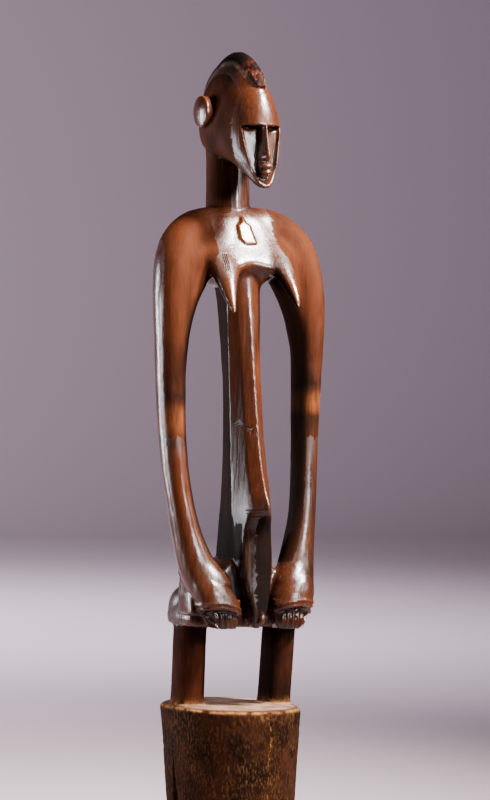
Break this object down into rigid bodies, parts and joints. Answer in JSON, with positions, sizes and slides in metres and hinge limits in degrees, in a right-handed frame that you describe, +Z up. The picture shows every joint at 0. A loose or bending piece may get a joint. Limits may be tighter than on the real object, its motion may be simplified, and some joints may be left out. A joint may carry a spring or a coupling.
{
  "type": "deble rhythm pounder",
  "caption": "Carved wooden standing female figure with long arms, hands on the hips and a crested head, on short legs over a solid round pounder base.",
  "frame": {"origin": "centre of the pounder's flat underside", "axes": "+Z up along the figure, the figure faces -Y, its right hand is on the -X side"},
  "size_m": [0.2526, 0.2051, 1.078],
  "materials": {
    "carved_wood": "oiled and handled dark hardwood, glossy on the figure and rough on the pounder"
  },
  "bodies": {
    "root": {"carved_figure": "carved_wood"}
  },
  "joints": []
}
